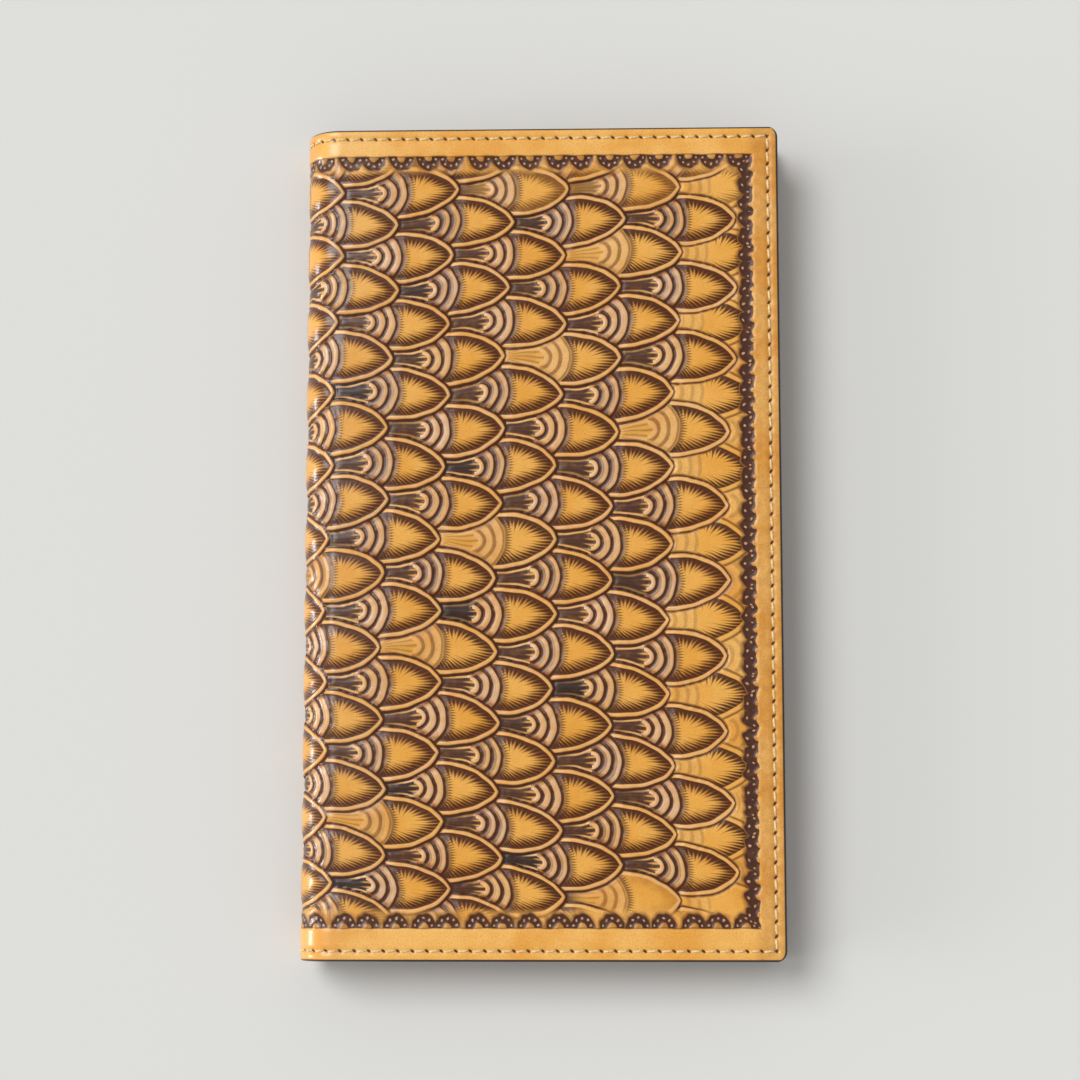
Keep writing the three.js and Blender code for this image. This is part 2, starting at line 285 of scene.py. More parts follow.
    # Channel of the seam, and the slanted holes in it where the thread goes down.
    u, v = plain_u, plain_v
    mean_stitch = 3.03
    to_end = end_y - calc("ABSOLUTE", v)
    to_side = edge_u - across
    along_side = calc("GREATER_THAN", to_end, to_side)
    seam = calc("MINIMUM", to_end, to_side) - seam_inset
    beat = pick(along_side, v / side_stitch, u / end_stitch)
    travel = pick(along_side, -1.0, 2.0 * calc("GREATER_THAN", v, 0.0) - 1.0)
    slip = (calc("FRACT", beat) - 0.5) * mean_stitch * travel
    hole = ramp(hypot((seam - 0.45 * slip) * 1.2, slip * 0.85), 0.52, 0.22)
    channel = ramp(calc("ABSOLUTE", seam), 0.75, 0.2)

    # Knife lines, the antique in fans, arcs, ticks and stamps, painted shade on the inner side of each arc,
    # and painted shade in the stitch holes.
    field = inside * (1.0 - ramp(rho, 2.9, 2.75)) * (0.35 + 0.65 * ramp(from_end, 2.9, 4.5))
    lines = most(cut * (1.0 - 0.3 * last), gaps * (0.2 + 0.8 * full) * (1.0 - beside))
    bristles = fan * (1.0 - full) * (1.0 - last) * ramp(bristle, 0.5, 0.15) * 0.55
    lines = most(field * most(lines, strokes, bristles), scribe * 0.6)
    # Painted shade: the inner half of each arc is darkened as if it lay in its own shadow, more in some
    # scales than others.
    painted_arc_shade = 0.42 + 0.26 * calc("SINE", index * 3.1 + line * 1.3)
    painted_arc_shade = painted_arc_shade * ramp(calc("FRACT", phase), 0.54, 0.38) * ramp(ring, 2.0, 2.4)
    dark = field * most(most(fan_dark * full, arcs * painted_arc_shade) * full, ticks)
    # The stitch holes are painted dark, as the shade inside them.
    dark = most(dark, stamp * (1.0 - bead), hole)
    deep = field * fan_dark * full * full * ramp(calc("SINE", index * 4.3 + line * 2.7), 0.6, 0.95)

    # Brown wash that the antique leaves round the cuts, a darker strip along the open edge, and the paler
    # leather of rims and arcs, partly a painted highlight.
    wash = most(ramp(edge, 0.54, 0.3) * 0.6, body * ramp(e, 1.0, 1.2) * ramp(e, 5.0, 1.0) * 0.78)
    wash = most(wash, arcs * ramp(over, 1.7, 0.3) * 0.8, arcs * 0.8 * ramp(zigzag(phase), 0.6, 0.1))
    wash = field * most(wash * (0.3 + 0.7 * full) * (1.0 - 0.7 * last), 0.1)
    wash = most(wash, inside * ramp(rho, 3.7, 2.8) * 0.5)
    # A darker brown strip over the last 5 to 7 mm before the open edge.
    wash = most(wash, 0.28 * ramp(across, edge_u - 7.0, edge_u - 5.0))
    rim = band(e, 0.4, 1.0, 0.14)
    # Rims, arcs, the bands beside each fan and the beads are paler burnished leather, with a painted
    # highlight mixed into that colour.
    pale_and_highlight = most(rim * 0.5, beside * fan * 0.45, arcs * (1.0 - gaps) * full * 0.8)
    pale_and_highlight = field * pale_and_highlight * (0.75 + 0.25 * calc("SINE", index * 1.7 + line * 2.9)) * (1.0 - 0.8 * last)
    pale_and_highlight = most(pale_and_highlight, bead)
    gold = field * (body + fan * (1.0 - full))

    lift = 0.32 * ramp(edge, 0.42, 0.06) + 0.24 * ramp(over, 2.4, 0.2)
    lift = lift + 0.12 * band(e, 1.2, 1.6, 0.2) + 0.18 * ramp(e, 3.8, 1.4) * body
    lift = lift + full * (0.3 * gaps * (1.0 - beside) + 0.32 * fan * (1.0 - 0.6 * beside)) + 0.07 * strokes
    depth = field * (0.45 + 0.55 * full) * (1.0 - 0.6 * last) * lift
    depth = depth + 0.34 * stamp - 0.12 * bead + 0.08 * scribe + channel_depth * channel + 0.3 * hole
    return depth, dark, lines, pale_and_highlight, wash, gold, deep


def on_hide(u, v, below, side):
    """Place of a point this far below the hide's outer face, in millimetres: round the spine for u up to the
    bend and straight on from there. Side +1 is the front half; -1 is the back half, the same turned over."""
    turn = np.minimum(u, bend_u) / spine_radius
    arm = spine_radius - below
    x = bend_x - arm * np.cos(turn) + np.maximum(u - bend_u, 0)
    return np.stack([x, v, spine_radius + side * arm * np.sin(turn)], -1)


def corner_inset(to_end):
    """How far a rounded corner draws a row in: its radius less the height of a circle at that row."""
    short = np.clip(corner_radius - to_end, 0, corner_radius)
    return corner_radius - np.sqrt(corner_radius ** 2 - short ** 2)


def rounded_corner(u, v):
    """u, drawn in near the open edge so that each row ends on the rounded corner's arc."""
    return u - corner_inset(end_y - np.abs(v)) * ramp(u, edge_u - 6, edge_u)


def mesh_object(name, points, faces, material, flat_first=0, flat_count=0):
    """An object at the origin from millimetre points and lists of corners, smooth but for a run of flat
    faces."""
    mesh = bpy.data.meshes.new(name)
    mesh.from_pydata(np.asarray(points) * 0.001, [], faces)
    order = np.arange(len(mesh.polygons))
    mesh.polygons.foreach_set("use_smooth", (order < flat_first) | (order >= flat_first + flat_count))
    mesh.materials.append(material)
    made = bpy.data.objects.new(name, mesh)
    bpy.context.scene.collection.objects.link(made)
    return made


def grid_faces(rows, columns, start, turned):
    """Four corners for each cell of a grid of points that is numbered row by row from start."""
    low = start + (np.arange(rows - 1)[:, None] * columns + np.arange(columns - 1)).ravel()
    corners = np.stack([low, low + 1, low + columns + 1, low + columns], 1)
    return corners[:, ::-1] if turned else corners


def grid_rim(rows, columns):
    """Numbers of the points round the edge of such a grid, in order from its first point."""
    return np.concatenate([
        np.arange(columns), np.arange(1, rows) * columns + columns - 1,
        (rows - 1) * columns + np.arange(columns - 2, -1, -1), np.arange(rows - 2, 0, -1) * columns,
    ])


def hide_half(name, side, material):
    """Half of the cover as a closed shell. The outer face is a fine grid that carries the tooling and rolls
    over at its edges as a quarter circle. The wall and the inner face close it, and each column of the inner
    face is one long strip."""
    rolled = edge_round * (1 - np.cos(np.linspace(0, np.pi / 2, 5)))
    middle = np.linspace(edge_round, end_y, int((end_y - edge_round) / grid_step) + 1)
    from_end = np.concatenate([rolled[:-1], middle])
    rows = np.concatenate([from_end - end_y, (end_y - from_end[:-1])[::-1]])
    flat = np.linspace(0, edge_u - edge_round, int((edge_u - edge_round) / grid_step) + 1)
    columns = np.concatenate([flat, (edge_u - rolled[:-1])[::-1]])
    u, v = (part.T for part in np.meshgrid(columns, rows, indexing="ij"))
    to_edge = np.minimum(end_y - np.abs(v), edge_u - u)
    inward = np.clip(edge_round - to_edge, 0, edge_round)
    roll = edge_round - np.sqrt(edge_round ** 2 - inward ** 2)
    depth = tooling(side * u, v)[0]
    outer = on_hide(rounded_corner(u, v), v, depth + roll, side)
    count_v, count_u = u.shape

    rim = grid_rim(count_v, count_u)
    rim_u, rim_v = u.ravel()[rim], v.ravel()[rim]
    inner = on_hide(rounded_corner(rim_u, rim_v), rim_v, np.full(len(rim), hide_thickness), side)
    points = np.concatenate([outer.reshape(-1, 3), inner])
    ring = count_u * count_v + np.arange(len(rim))
    wall = np.stack([rim, ring, np.roll(ring, -1), np.roll(rim, -1)], 1)
    foot = ring[:count_u]
    right = ring[count_u - 1:count_u + count_v - 1]
    head = ring[count_u + count_v - 2:2 * count_u + count_v - 2][::-1]
    left = np.concatenate([ring[2 * count_u + count_v - 3:], ring[:1]])[::-1]
    strips = np.stack([foot[1:-2], head[1:-2], head[2:-1], foot[2:-1]], 1)
    ends = [
        [*left.tolist(), head[1], foot[1]],
        [foot[-2], head[-2], *right[::-1].tolist()],
    ]
    turned = side < 0
    faces = grid_faces(count_v, count_u, 0, turned).tolist()
    faces += (wall[:, ::-1] if turned else wall).tolist()
    faces += (strips[:, ::-1] if turned else strips).tolist()
    faces += [end[::-1] if turned else end for end in ends]
    made = mesh_object(name, points, faces, material, (count_u - 1) * (count_v - 1), len(wall))
    marks = np.concatenate([
        np.stack([side * u, v, roll], -1).reshape(-1, 3),
        np.stack([side * rim_u, rim_v, np.full(len(rim), hide_thickness)], -1),
    ])
    made.data.attributes.new("hide", "FLOAT_VECTOR", "POINT").data.foreach_set("vector", marks.ravel())
    return made


def new_material(name):
    """A material with the usual shader: the material, its node tree and that shader."""
    made = bpy.data.materials.new(name)
    made.use_nodes = True
    return made, made.node_tree, made.node_tree.nodes["Principled BSDF"]


def add_node(tree, kind, inputs=(), **settings):
    """A shader node with its settings, its constant inputs set and its linked inputs joined."""
    made = tree.nodes.new(kind)
    for key, value in settings.items():
        setattr(made, key, value)
    for key, value in dict(inputs).items():
        if isinstance(value, bpy.types.NodeSocket):
            tree.links.new(value, made.inputs[key])
        else:
            made.inputs[key].default_value = value
    return made


def noise(tree, place, scale, detail):
    """Cloudy noise of this scale and detail at these places, as a Wire."""
    inputs = {"Vector": place, "Scale": scale, "Detail": detail}
    return Wire(add_node(tree, "ShaderNodeTexNoise", inputs).outputs["Fac"])


def colour(red, green, blue):
    """A colour written in screen values 0 to 255, as the linear colour that a shader takes."""
    share = np.array([red, green, blue]) / 255
    linear = np.where(share <= 0.04045, share / 12.92, ((share + 0.055) / 1.055) ** 2.4)
    return (*linear.tolist(), 1.0)


def mixed(tree, share, first, second):
    """Colour between two others by a share. A Mix node for colours takes them at its inputs 6, 7 and 0."""
    inputs = {0: share.socket, 6: first, 7: second}
    return add_node(tree, "ShaderNodeMix", inputs, data_type="RGBA").outputs[2]


hide_material, tree, shader = new_material("tooled_hide")
marks = add_node(tree, "ShaderNodeAttribute", attribute_name="hide").outputs["Vector"]
parts = add_node(tree, "ShaderNodeSeparateXYZ", {"Vector": marks})
hide_u, hide_v, hide_below = (Wire(parts.outputs[axis]) for axis in "XYZ")
depth, dark, lines, pale_and_highlight, wash, gold, deep = tooling(hide_u, hide_v)
blotch = noise(tree, marks, 0.09, 6.0)
grain = noise(tree, marks, 2.8, 4.0)
rub = noise(tree, marks, 0.55, 3.0)
plain = mixed(tree, ramp(blotch, 0.35, 0.68), colour(247, 191, 104), colour(233, 165, 70))
plain = mixed(tree, ramp(grain, 0.38, 0.76) * 0.42, plain, colour(198, 124, 46))
plain = mixed(tree, gold * 0.45, plain, colour(241, 171, 58))
uneven = ramp(rub, 0.36, 0.64)
# Paler burnished leather, with a painted whitish-pink highlight, on rims, arcs and beads.
plain = mixed(tree, pale_and_highlight * (1.2 - 0.5 * uneven), plain, colour(236, 194, 156))
plain = mixed(tree, wash * (0.75 + 0.5 * uneven), plain, colour(140, 72, 22))
plain = mixed(tree, lines * 0.98, plain, colour(79, 37, 12))
# Antique and painted shade together, a little rubbed off in places.
rubbed_antique_and_shade = dark * (1.0 - 0.08 * ramp(rub, 0.45, 0.74))
tooled = mixed(tree, rubbed_antique_and_shade, plain, colour(74, 42, 31))
tooled = mixed(tree, deep * 0.7, tooled, colour(34, 27, 27))
painted = mixed(tree, ramp(hide_below, 0.02, 0.09), tooled, colour(52, 43, 40))
flesh = mixed(tree, ramp(hide_below, 1.9, 1.99), painted, colour(176, 128, 84))
tree.links.new(flesh, shader.inputs["Base Color"])
tree.links.new((0.34 + 0.2 * grain + 0.25 * dark).socket, shader.inputs["Roughness"])
fine = 0.00008 * grain - 0.0004 * depth - 0.00004 * dark - 0.00008 * lines
bump = add_node(tree, "ShaderNodeBump", {"Strength": 0.6, "Distance": 1.0, "Height": fine.socket})
tree.links.new(bump.outputs["Normal"], shader.inputs["Normal"])
shader.inputs["Specular IOR Level"].default_value = 0.06
polish = ramp(calc("ABSOLUTE", hide_u), 30.0, 8.0)
tree.links.new((0.4 + 0.6 * polish).socket, shader.inputs["Coat Weight"])
shader.inputs["Coat Roughness"].default_value = 0.28

cover_front = hide_half("cover_front", 1, hide_material)
cover_back = hide_half("cover_back", -1, hide_material)
spine_middle = (0.001 * (bend_x - spine_radius), 0.0, 0.001 * spine_radius)
front_bend = (0.001 * bend_x, 0.0, 0.001 * top_z)
back_bend = (0.001 * bend_x, 0.0, 0.0)
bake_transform(cover_front)
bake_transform(cover_back)
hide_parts("cover_front_panel", "cover_spine")
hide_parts("cover_back_panel", "cover_spine")


# Seam: a row of cream waxed-thread stitches near the edges, slightly slanted, each going down into a hole at
# both ends. It joins cover, lining and pockets, and runs on round both ends of the spine.
stitch_length = 2.55
stitch_width = 0.54
stitch_slant = np.radians(6)
stitch_rings, stitch_facets = 7, 6


def stitches(u, v, heading, place, turned):
    """Points and faces of one bent cigar per stitch, centred at u and v and heading along the seam. The
    cigar's radius is the root of a half circle along its length, and its ends dip into the leather."""
    rings, facets = stitch_rings, stitch_facets
    along = np.linspace(-1, 1, rings)
    around = np.arange(facets) * 2 * np.pi / facets
    fat = stitch_width / 2 * np.sqrt(np.clip(1.02 - along ** 2, 0.06, 1))
    a = np.repeat(along * stitch_length / 2, facets)
    b = (fat[:, None] * np.cos(around)).ravel()
    up = ((0.1 - 0.42 * along ** 4)[:, None] + 0.8 * fat[:, None] * np.sin(around)).ravel()
    turn = (heading + stitch_slant)[:, None]
    place_u = u[:, None] + a * np.cos(turn) - b * np.sin(turn)
    place_v = v[:, None] + a * np.sin(turn) + b * np.cos(turn)
    points = place(place_u, place_v, np.broadcast_to(up, place_u.shape))
    ring = np.arange(rings - 1)[:, None] * facets
    spot, after = np.arange(facets), (np.arange(facets) + 1) % facets
    quads = np.stack([ring + spot, ring + facets + spot, ring + facets + after, ring + after], -1)
    first = np.arange(len(u))[:, None, None] * rings * facets
    quads = (first + quads.reshape(-1, 4)).reshape(-1, 4)
    caps = (first + np.stack([spot, (rings - 1) * facets + spot[::-1]])).reshape(-1, facets)
    if turned:
        quads, caps = quads[:, ::-1], caps[:, ::-1]
    return points.reshape(-1, 3), quads.tolist() + caps.tolist()


def on_seam(side):
    """Places seam points on the outside of one half. Past the spine's middle (u below 0) is the other."""
    def place(u, v, up):
        points = on_hide(np.abs(u), v, channel_depth - up, side)
        points[..., 2] = spine_radius + np.sign(u + 1e-9) * (points[..., 2] - spine_radius)
        return points
    return place


thread_material, tree, shader = new_material("waxed_thread")
place = add_node(tree, "ShaderNodeTexCoord").outputs["Object"]
fibre = noise(tree, place, 2600.0, 2.0)
cream = mixed(tree, ramp(fibre, 0.35, 0.7), colour(240, 214, 160), colour(214, 174, 112))
tree.links.new(cream, shader.inputs["Base Color"])
shader.inputs["Roughness"].default_value = 0.65

end_count = np.arange(int(stitches_on_end) + 1)
side_count = np.arange(stitches_on_side) - stitches_on_side // 2
for name, side, first, second, start, end, nodes in (
    ("stitches_front", 1, "spine", "front_half", spine_middle, front_bend,
     ("stitch_front_panel", "stitch_spine_head", "stitch_spine_tail")),
    ("stitches_back", -1, "back_half", "spine", back_bend, spine_middle,
     ("stitch_back_panel", "stitch_spine_head", "stitch_spine_tail")),
):
    along_end = end_stitch * (end_count if side > 0 else end_count[1:])
    none, seam_end = np.zeros(len(along_end)), end_y - seam_inset
    row_u = np.concatenate([along_end, along_end, np.full(len(side_count), edge_u - seam_inset)])
    row_v = np.concatenate([none + seam_end, none - seam_end, side_count * side_stitch])
    heading = np.concatenate([none, none, np.full(len(side_count), np.pi / 2)])
    points, faces = stitches(row_u, row_v, heading, on_seam(side), side < 0)
    seam = mesh_object(name, points, faces, thread_material)
    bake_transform(seam)
    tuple(start)
    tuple(end)
    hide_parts(*nodes)


# Lining: one thin pigskin sheet glued all over the inside of the cover, across the spine too. Its two halves
# lap at the spine's middle, each with a skived tongue inside the other, so that no gap opens there.
lining_outer, lining_inner = 2.1, 2.9
lining_lap = 0.35
lining_skive = 0.25


def closed_sheet(name, upper, lower, material, turned):
    """An object closed between two like grids of points. The first faces up, unless the sheet is turned."""
    rows, columns = upper.shape[:2]
    count = rows * columns
    rim = grid_rim(rows, columns)
    wall = np.stack([rim, rim + count, np.roll(rim, -1) + count, np.roll(rim, -1)], 1)
    upper_faces = grid_faces(rows, columns, 0, False)
    lower_faces = grid_faces(rows, columns, count, True)
    faces = np.concatenate([upper_faces, lower_faces, wall])
    points = np.concatenate([upper.reshape(-1, 3), lower.reshape(-1, 3)])
    faces = (faces[:, ::-1] if turned else faces).tolist()
    return mesh_object(name, points, faces, material, len(faces) - len(wall), len(wall))


def grained(name, light, deep, pore_scale, pore_depth, roughness, burnish=None):
    """Plain leather: two shades in soft clouds, pores that are darker and a little sunk, and, where a colour
    for it is given, edges burnished darker as far as the mesh's own distance to its edge says."""
    made, tree, shader = new_material(name)
    place = add_node(tree, "ShaderNodeTexCoord").outputs["Object"]
    cloud = noise(tree, place, 55.0, 5.0)
    pore = add_node(tree, "ShaderNodeTexVoronoi", {"Vector": place, "Scale": pore_scale})
    crackle = ramp(Wire(pore.outputs["Distance"]), 0.25, 0.75)
    base = mixed(tree, ramp(cloud, 0.34, 0.68), light, deep)
    base = mixed(tree, crackle * 0.35, base, deep)
    if burnish:
        to_edge = Wire(add_node(tree, "ShaderNodeAttribute", attribute_name="to_edge").outputs["Fac"])
        base = mixed(tree, ramp(to_edge, 0.42, 0.08), base, burnish)
    tree.links.new(base, shader.inputs["Base Color"])
    tree.links.new((roughness + 0.12 * crackle).socket, shader.inputs["Roughness"])
    height = (0.0 - pore_depth) * crackle
    bump = add_node(tree, "ShaderNodeBump", {"Strength": 0.8, "Distance": 1.0, "Height": height.socket})
    tree.links.new(bump.outputs["Normal"], shader.inputs["Normal"])
    return made


pigskin = grained("pigskin_lining", colour(206, 160, 108), colour(186, 138, 88), 900.0, 0.00006, 0.62)
columns = np.concatenate([np.linspace(-lining_lap, 0, 4), np.linspace(0, bend_u, 33)[1:],
                          np.linspace(bend_u, edge_u, 60)[1:]])
rows = np.concatenate([np.linspace(-end_y, corner_radius - end_y, 8),
                       np.linspace(corner_radius - end_y, end_y - corner_radius, 90)[1:-1],
                       np.linspace(end_y - corner_radius, end_y, 8)])
u, v = np.meshgrid(columns, rows)
u = rounded_corner(u, v)
tongue = ramp(u, 0.0, -lining_lap)
v = v * (1 - 0.003 * tongue)
for name, side, first, second, start, end, nodes in (
    ("lining_front", 1, "spine", "front_half", spine_middle, front_bend,
     ("lining_front_panel", "lining_spine")),
    ("lining_back", -1, "back_half", "spine", back_bend, spine_middle,
     ("lining_back_panel", "lining_spine")),
):
    lining = closed_sheet(name, on_hide(u, v, lining_outer + lining_skive * tongue, side),
                          on_hide(u, v, lining_inner - lining_skive * tongue, side), pigskin, side < 0)
    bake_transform(lining)
    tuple(start)
    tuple(end)
    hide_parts(*nodes)


# Walls and card pockets: sheets of brown calf with half-round burnished edges and a line creased along each
# mouth. The two full-height walls are stitched in at the edges, and the T-shaped pockets overlap on them.
wall_left, wall_right = 1.5, open_x - bend_x
wall_level, wall_thickness = 3.1, 0.9
pocket_thickness = 0.6
pocket_depth = 45.0
pocket_slope = 0.05
pocket_lean = np.arcsin(pocket_slope)
pocket_step = 18.0
back_count, front_count = 6, 5
bar_depth = 17.0
stem_half = 43.3
plain_depth = 49.4
frame_depth = 59.4
foot_level = 4.2
back_level = foot_level + (plain_depth - pocket_depth) * pocket_slope
crease_inset = 1.8
edge_steps = np.array([0.0, 0.04, 0.14, 0.3, 0.6])


def in_half(x, y, z, side):
    """A point of a half's own frame in the wallet's: x from the spine's bend, y along the spine, z inwards
    from the cover's outer face. The front half (side +1) is laid up from the top down."""
    return np.stack([x + bend_x, y, top_z - z if side > 0 else z], -1)


def calf_sheet(name, rows, left, right, thickness, lean, foot, level, side, material):
    """A leaning sheet between the left and right edge of each row. Near its edges the thickness falls as a
    half circle. A groove like a bell curve runs below the mouth, and slow sines make it a little uneven."""
    left, right = left[:, None], right[:, None]
    inner_left, inner_right = left + edge_steps[-1], right - edge_steps[-1]
    share = np.linspace(0, 1, 40)[1:-1]
    x = np.concatenate([left + edge_steps, inner_left + share * (inner_right - inner_left),
                        right - edge_steps[::-1]], 1)
    y = np.broadcast_to(rows[:, None], x.shape)
    to_side = np.minimum(x - left, right - x)
    to_edge = np.minimum(to_side, np.minimum(y - rows[0], rows[-1] - y))
    half = thickness / 2
    swell = 0.12 * half + 0.88 * np.sqrt(half ** 2 - np.clip(half - to_edge, 0, half) ** 2)
    groove = 0.12 * np.exp(-((rows[-1] - y - crease_inset) / 0.28) ** 2)
    wave = 0.05 * np.sin(x / 9 + foot) * np.sin(y / 11 + 2 * foot) * np.clip(to_edge / 4, 0, 1)
    upper, lower = (in_half(x, foot + y * np.cos(lean) - z * np.sin(lean),
                            level + y * np.sin(lean) + z * np.cos(lean), side)
                    for z in (half + swell - groove + wave, half - swell + wave))
    made = closed_sheet(name, upper, lower, material, side > 0)
    marks = np.tile(np.where(groove > 0.08, 0.25, to_edge).ravel(), 2)
    made.data.attributes.new("to_edge", "FLOAT", "POINT").data.foreach_set("value", marks)
    return made


def sheet_rows(depth, *extra):
    """Heights of a sheet's rows, close together at its foot and at its mouth."""
    mouth_steps = np.concatenate([edge_steps, [1.0, 1.3, 1.5, 1.65, crease_inset, 1.95, 2.1, 2.4, 3.0]])
    between = np.linspace(edge_steps[-1], depth - 3, int(depth / 2.5) + 2)
    return np.unique(np.concatenate([edge_steps, between, depth - mouth_steps, extra]))


calf = grained("calf", colour(190, 124, 62), colour(170, 106, 50), 1500.0, 0.00005, 0.46,
               colour(92, 54, 28))
corner_rows = np.linspace(0, corner_radius, 7)
wall_rows = sheet_rows(2 * end_y, *corner_rows, *(2 * end_y - corner_rows))
to_row_end = np.minimum(wall_rows, 2 * end_y - wall_rows)
for node, side in (("bill_pocket_panel", -1), ("checkbook_sleeve_panel", 1)):
    wall = calf_sheet("leather_" + node, wall_rows, np.full(len(wall_rows), wall_left),
                      wall_right - corner_inset(to_row_end), wall_thickness, 0.0, -end_y, wall_level,
                      side, calf)
    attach(wall, "front_half" if side > 0 else "back_half")
    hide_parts(node)

card_middle = (wall_left + wall_right) / 2
tee_rows = sheet_rows(pocket_depth, pocket_depth - bar_depth, pocket_depth - bar_depth - 0.3)
in_bar = tee_rows >= pocket_depth - bar_depth
tee_left = np.where(in_bar, wall_left, card_middle - stem_half)
tee_right = np.where(in_bar, wall_right, card_middle + stem_half)
for prefix, count, side, mouth_below, level in (
    ("back_card_pocket_", back_count, -1, plain_depth - end_y, back_level),
    ("front_card_pocket_", front_count, 1, frame_depth - end_y, foot_level),
):
    for index in range(1, count + 1):
        mouth = mouth_below + (count + 1 - index) * pocket_step
        pocket = calf_sheet(f"leather_{prefix}{index}", tee_rows, tee_left, tee_right, pocket_thickness,
                            pocket_lean, mouth - pocket_depth, level, side, calf)
        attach(pocket, "front_half" if side > 0 else "back_half")
        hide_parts(f"{prefix}{index}")

low_rows = sheet_rows(plain_depth, *corner_rows)
low_pocket = calf_sheet("leather_back_card_pocket_low", low_rows, np.full(len(low_rows), wall_left),
                        wall_right - corner_inset(low_rows), pocket_thickness, pocket_lean,
                        pocket_thickness * np.sin(pocket_lean) - end_y, foot_level, -1, calf)
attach(low_pocket, "back_half")
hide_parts("back_card_pocket_low")


# Window pocket for an identity card: a calf frame with a round-cornered opening, stitched in at the foot of
# the front half, and a clear flexible sheet glued behind the opening.
frame_level, frame_thickness = 0.4, 0.9
window_half, window_low, window_high, window_corner = 37.8, 9.4, 53.4, 3
sheet_thickness, sheet_margin, glue_line = 0.3, 3.5, 0.02
window_lean = np.arcsin(pocket_depth * pocket_slope / frame_depth)
window_foot = (frame_level + frame_thickness) * np.sin(window_lean) - end_y


def rounded_loop(left, right, low, high, corners):
    """Points round a rectangle, nine to each corner's quarter circle, from the lower right anticlockwise."""
    start = np.array([-np.pi / 2, 0, np.pi / 2, np.pi])[:, None]
    turn = start + np.linspace(0, np.pi / 2, 9)
    radius = np.array(corners, float)[:, None]
    x = np.array([right, right, left, left])[:, None] + radius * np.array([-1, -1, 1, 1])[:, None]
    y = np.array([low, high, high, low])[:, None] + radius * np.array([1, -1, -1, 1])[:, None]
    return np.stack([(x + radius * np.cos(turn)).ravel(), (y + radius * np.sin(turn)).ravel()], -1)


def window_place(flat, z):
    """A flat outline at height z on the leaning pocket, in the wallet's frame."""
    x, y = flat[:, 0], flat[:, 1]
    return in_half(x, window_foot + y * np.cos(window_lean) - z * np.sin(window_lean),
                   foot_level + y * np.sin(window_lean) + z * np.cos(window_lean), 1)


def opening(grow):
    """The window's outline, grown by this much."""
    return rounded_loop(card_middle - window_half - grow, card_middle + window_half + grow,
                        window_low - grow, window_high + grow, [window_corner + grow] * 4)


def outside(shrink):
    """The frame's outer outline, drawn in by this much."""
    return rounded_loop(wall_left + shrink, wall_right - shrink, shrink, frame_depth - shrink,
                        [corner_radius, 0.5, 0.5, 0.5])


# The frame's section, once round: outline, height and distance to the edge for the burnish.
base, top = frame_level, frame_level + frame_thickness
loops = [
    (opening(0.0), base + 0.45, 0.0), (opening(0.06), top - 0.22, 0.0), (opening(0.2), top - 0.07, 0.1),
    (opening(0.45), top, 0.4), (opening(1.5), top, 2.0), (opening(1.75), top - 0.12, 0.25),
    (opening(2.0), top, 2.0), (outside(2.1), top, 2.0), (outside(1.8), top - 0.12, 0.25),
    (outside(1.5), top, 2.0), (outside(0.45), top, 0.4), (outside(0.2), top - 0.07, 0.1),
    (outside(0.06), top - 0.22, 0.0), (outside(0.0), base + 0.45, 0.0), (outside(0.06), base + 0.22, 0.0),
    (outside(0.45), base, 2.0), (opening(0.45), base, 2.0), (opening(0.06), base + 0.22, 0.0),
]
points = np.concatenate([window_place(flat, z) for flat, z, to_edge in loops])
ring_size = len(loops[0][0])
ring = np.arange(len(loops))[:, None] * ring_size
spot = np.arange(ring_size)
after_ring, after_spot = np.roll(ring, -1, 0), np.roll(spot, -1)
faces = np.stack([ring + spot, ring + after_spot, after_ring + after_spot, after_ring + spot], -1)
frame_piece = mesh_object("leather_id_pocket_panel", points, faces.reshape(-1, 4).tolist(), calf)
marks = np.repeat([to_edge for flat, z, to_edge in loops], ring_size)
frame_piece.data.attributes.new("to_edge", "FLOAT", "POINT").data.foreach_set("value", marks)
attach(frame_piece, "front_half")
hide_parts("id_pocket_panel")

clear, tree, shader = new_material("clear_sheet")
place = add_node(tree, "ShaderNodeTexCoord").outputs["Object"]
haze = noise(tree, place, 70.0, 3.0)
tint = mixed(tree, haze, colour(238, 242, 242), colour(222, 229, 230))
tree.links.new(tint, shader.inputs["Base Color"])
tree.links.new((0.06 + 0.1 * haze).socket, shader.inputs["Roughness"])
shader.inputs["Alpha"].default_value = 0.18
flat = opening(sheet_margin)
points = np.concatenate([window_place(flat, z) for z in (glue_line, sheet_thickness - glue_line)])
side_faces = np.stack([spot, spot + ring_size, after_spot + ring_size, after_spot], -1)
faces = [spot.tolist(), (spot[::-1] + ring_size).tolist(), *side_faces.tolist()]
clear_piece = mesh_object("clear_id_window_sheet", points, faces, clear, 0, len(faces))
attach(clear_piece, "front_half")
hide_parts("id_window_sheet")


# Inner side of the seam: the same thread shows on the pockets, as far in from the open edge and both ends as
# outside, and a second row fixes the bars of the pockets to their wall along the spine side.
thread_sink = 0.08


def layer_height(y, first_mouth, count, level, low_height):
    """Height of the uppermost sheet at the edges: the wall above the first mouth, then each leaning pocket
    for one step, and the lowest pocket below the last mouth."""
    step = np.floor((first_mouth - y) / pocket_step)
    up_pocket = y - first_mouth + pocket_step * step + pocket_depth
    tee = level + up_pocket * np.sin(pocket_lean) + pocket_thickness
    return np.where(step < 0, wall_level + wall_thickness, np.where(step < count, tee, low_height))


def on_pockets(height, centre, side):
    """Places seam points on the inside of one half, where each stitch leans as the pockets do."""
    def place(x, y, up):
        return in_half(x, y, height + pocket_slope * (y - centre) + up - thread_sink, side)
    return place


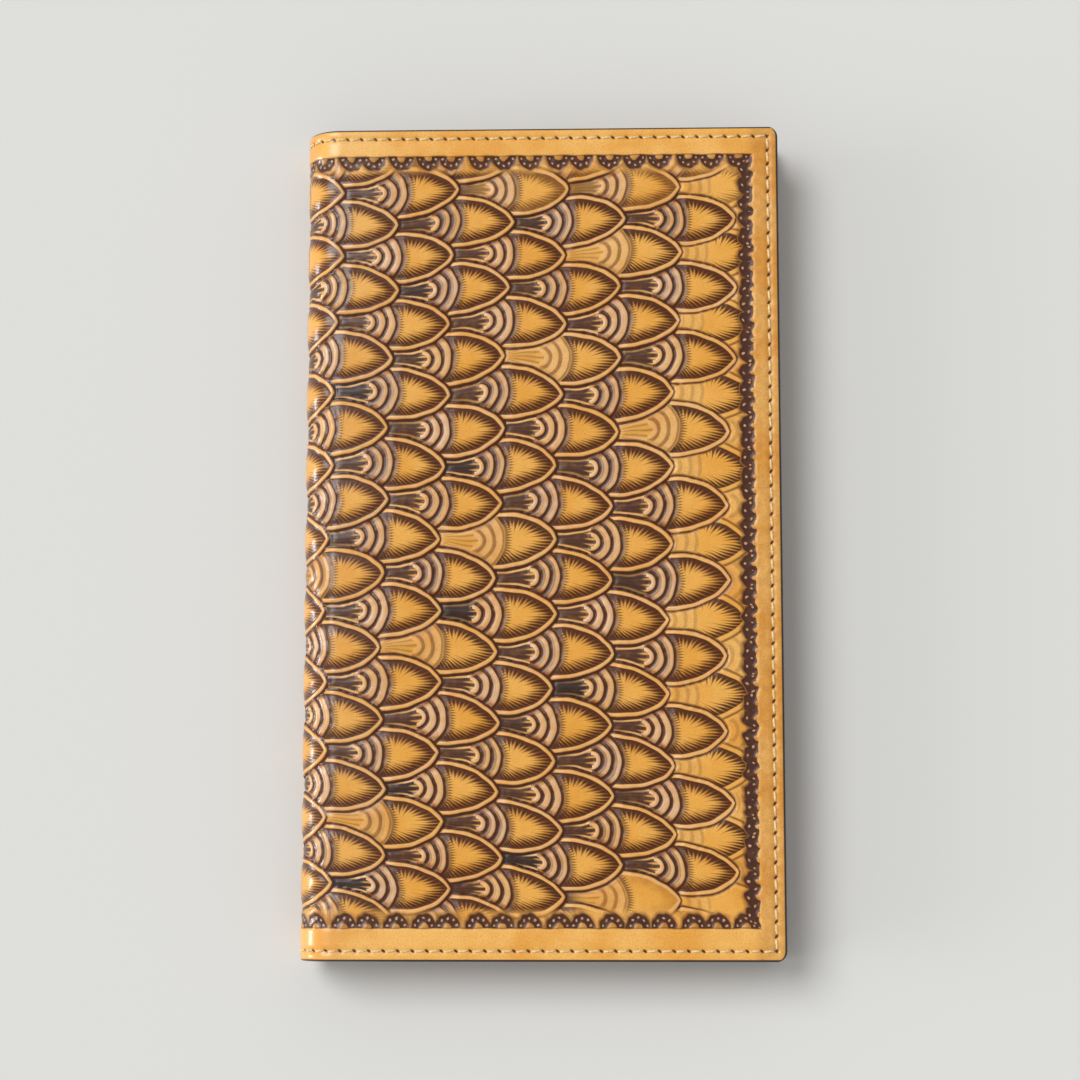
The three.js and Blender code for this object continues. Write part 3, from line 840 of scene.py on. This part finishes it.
for name, side, body, count, low_mouth, level, low_lean, low_top, node in (
    ("stitches_inside_back", -1, "back_half", back_count, plain_depth - end_y, back_level,
     pocket_lean, pocket_thickness, "stitch_back_panel"),
    ("stitches_inside_front", 1, "front_half", front_count, frame_depth - end_y, foot_level,
     window_lean, frame_level + frame_thickness, "stitch_front_panel"),
):
    first_mouth = low_mouth + count * pocket_step
    rise = side_count * side_stitch
    side_y = np.concatenate([rise, rise[rise < first_mouth - 1]])
    side_x = np.concatenate([np.full(len(rise), wall_right - seam_inset),
                             np.full(len(side_y) - len(rise), wall_left + seam_inset)])
    end_x = np.arange(wall_left + seam_inset + 1, wall_right - seam_inset, end_stitch)
    seam_x = np.concatenate([side_x, end_x, end_x])
    seam_y = np.concatenate([side_y, end_x * 0 + end_y - seam_inset, end_x * 0 - end_y + seam_inset])
    heading = np.where(np.arange(len(seam_x)) < len(side_x), np.pi / 2, 0.0)
    per_stitch = stitch_rings * stitch_facets
    centre = np.repeat(seam_y, per_stitch).reshape(len(seam_y), per_stitch)
    low_height = foot_level + (centre + end_y) * np.sin(low_lean) + low_top
    height = layer_height(centre, first_mouth, count, level, low_height)
    points, faces = stitches(seam_x, seam_y, heading, on_pockets(height, centre, side), side > 0)
    inside = mesh_object(name, points, faces, thread_material)
    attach(inside, body)
    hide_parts(node)


# Floor, light and camera: a plain pale floor under the wallet, three soft lights from far away with a white
# sky, and a camera that looks down on the closed wallet.
floor_half, floor_level = 3000, -0.3
floor_material, tree, shader = new_material("floor")
shader.inputs["Base Color"].default_value = colour(222, 222, 219)
shader.inputs["Roughness"].default_value = 0.9
corners = floor_half * np.array([[-1, -1], [1, -1], [1, 1], [-1, 1]])
floor_points = np.column_stack([corners, np.full(4, floor_level)])
floor = mesh_object("floor", floor_points, [[0, 1, 2, 3]], floor_material)


def soft_sun(name, azimuth, elevation, spread, strength):
    """Light from far away, from this side and height in degrees, as soft as a disc this wide in the sky."""
    lamp = bpy.data.lights.new(name, "SUN")
    lamp.angle = np.radians(spread)
    lamp.energy = strength
    made = bpy.data.objects.new(name, lamp)
    bpy.context.scene.collection.objects.link(made)
    made.rotation_euler = (0.0, np.radians(90 - elevation), np.radians(azimuth))
    return made


soft_sun("key", 142.0, 56.0, 32.0, 1.75)
soft_sun("side", 185.0, 12.0, 30.0, 1.3).visible_glossy = False
soft_sun("sheen", 180.0, 4.0, 8.0, 0.9).visible_diffuse = False
world = bpy.data.worlds.new("studio")
world.use_nodes = True
sky = world.node_tree.nodes["Background"]
sky.inputs["Color"].default_value = (1.0, 1.0, 1.0, 1.0)
sky.inputs["Strength"].default_value = 0.45
bpy.context.scene.world = world

camera_data = bpy.data.cameras.new("camera")
camera = bpy.data.objects.new("camera", camera_data)
bpy.context.scene.collection.objects.link(camera)
camera_data.angle = np.radians(24.0)
camera.location = (0.0171, -0.0699, 0.5486)
aim = (Vector((-0.0002, -0.0008, 0.0155)) - camera.location).normalized()
camera.rotation_euler = (np.arcsin(aim.y), np.arctan2(-aim.x, -aim.z), 0.0)
bpy.context.scene.camera = camera
bpy.context.scene.view_settings.view_transform = "Standard"
